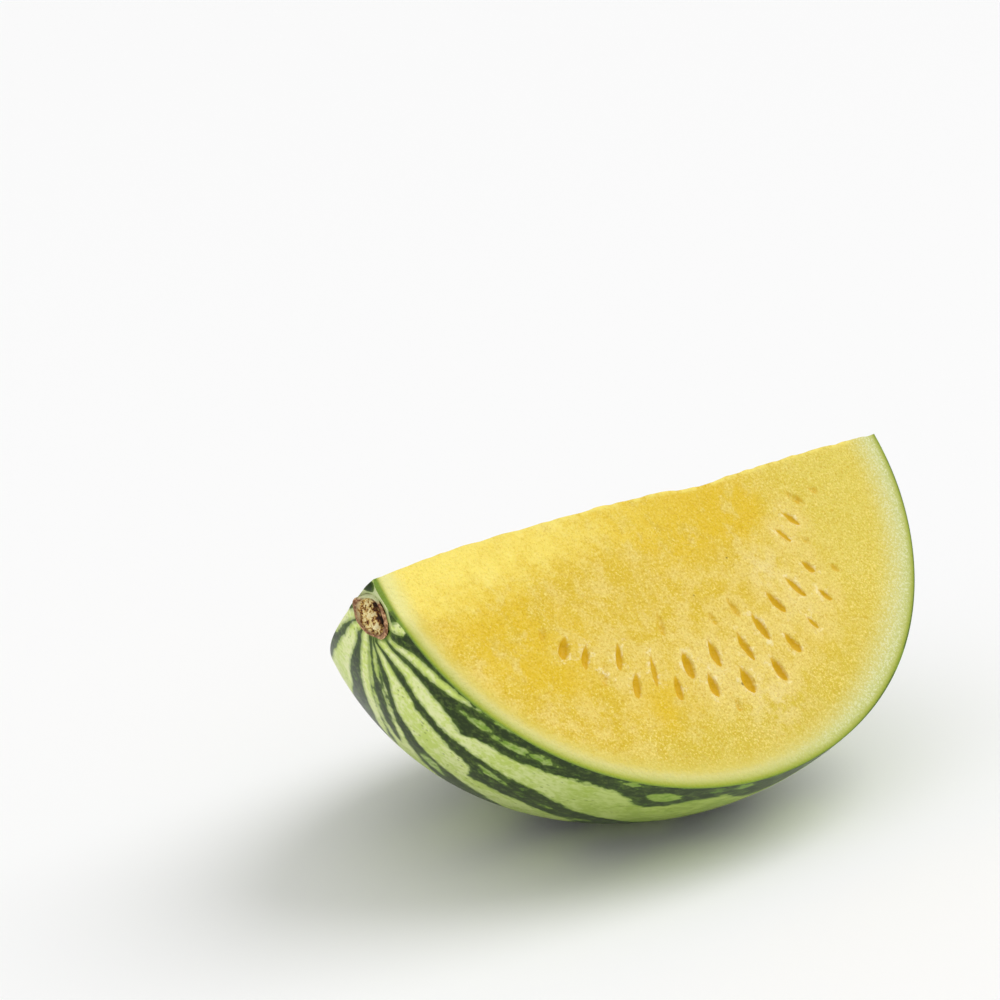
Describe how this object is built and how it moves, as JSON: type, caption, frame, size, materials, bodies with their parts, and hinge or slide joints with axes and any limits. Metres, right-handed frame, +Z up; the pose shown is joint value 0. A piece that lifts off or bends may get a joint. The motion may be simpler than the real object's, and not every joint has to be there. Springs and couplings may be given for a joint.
{
  "type": "yellow watermelon quarter",
  "caption": "Quarter of a round seedless yellow watermelon, cut lengthwise, lying on its striped green rind with the yellow cut faces showing empty seed hollows.",
  "frame": {"origin": "middle of the small flat spot on the rind that the piece rests on", "axes": "+X runs along the fruit's axis from the stem end to the blossom end, the near cut face looks to -Y and up, the far cut face to +Y and up, and +Z is up"},
  "size_m": [0.21, 0.1298, 0.0975],
  "materials": {
    "rind_and_flesh": "moist, finely grained yellow flesh, cream and pale green towards a thin rind with dark green stripes on a light green ground",
    "dry_cork": "dry, matt, pinkish-brown cork with torn cream fibres in the middle"
  },
  "bodies": {
    "root": {"melon_wedge": "rind_and_flesh", "stem_scar": "dry_cork"}
  },
  "joints": []
}
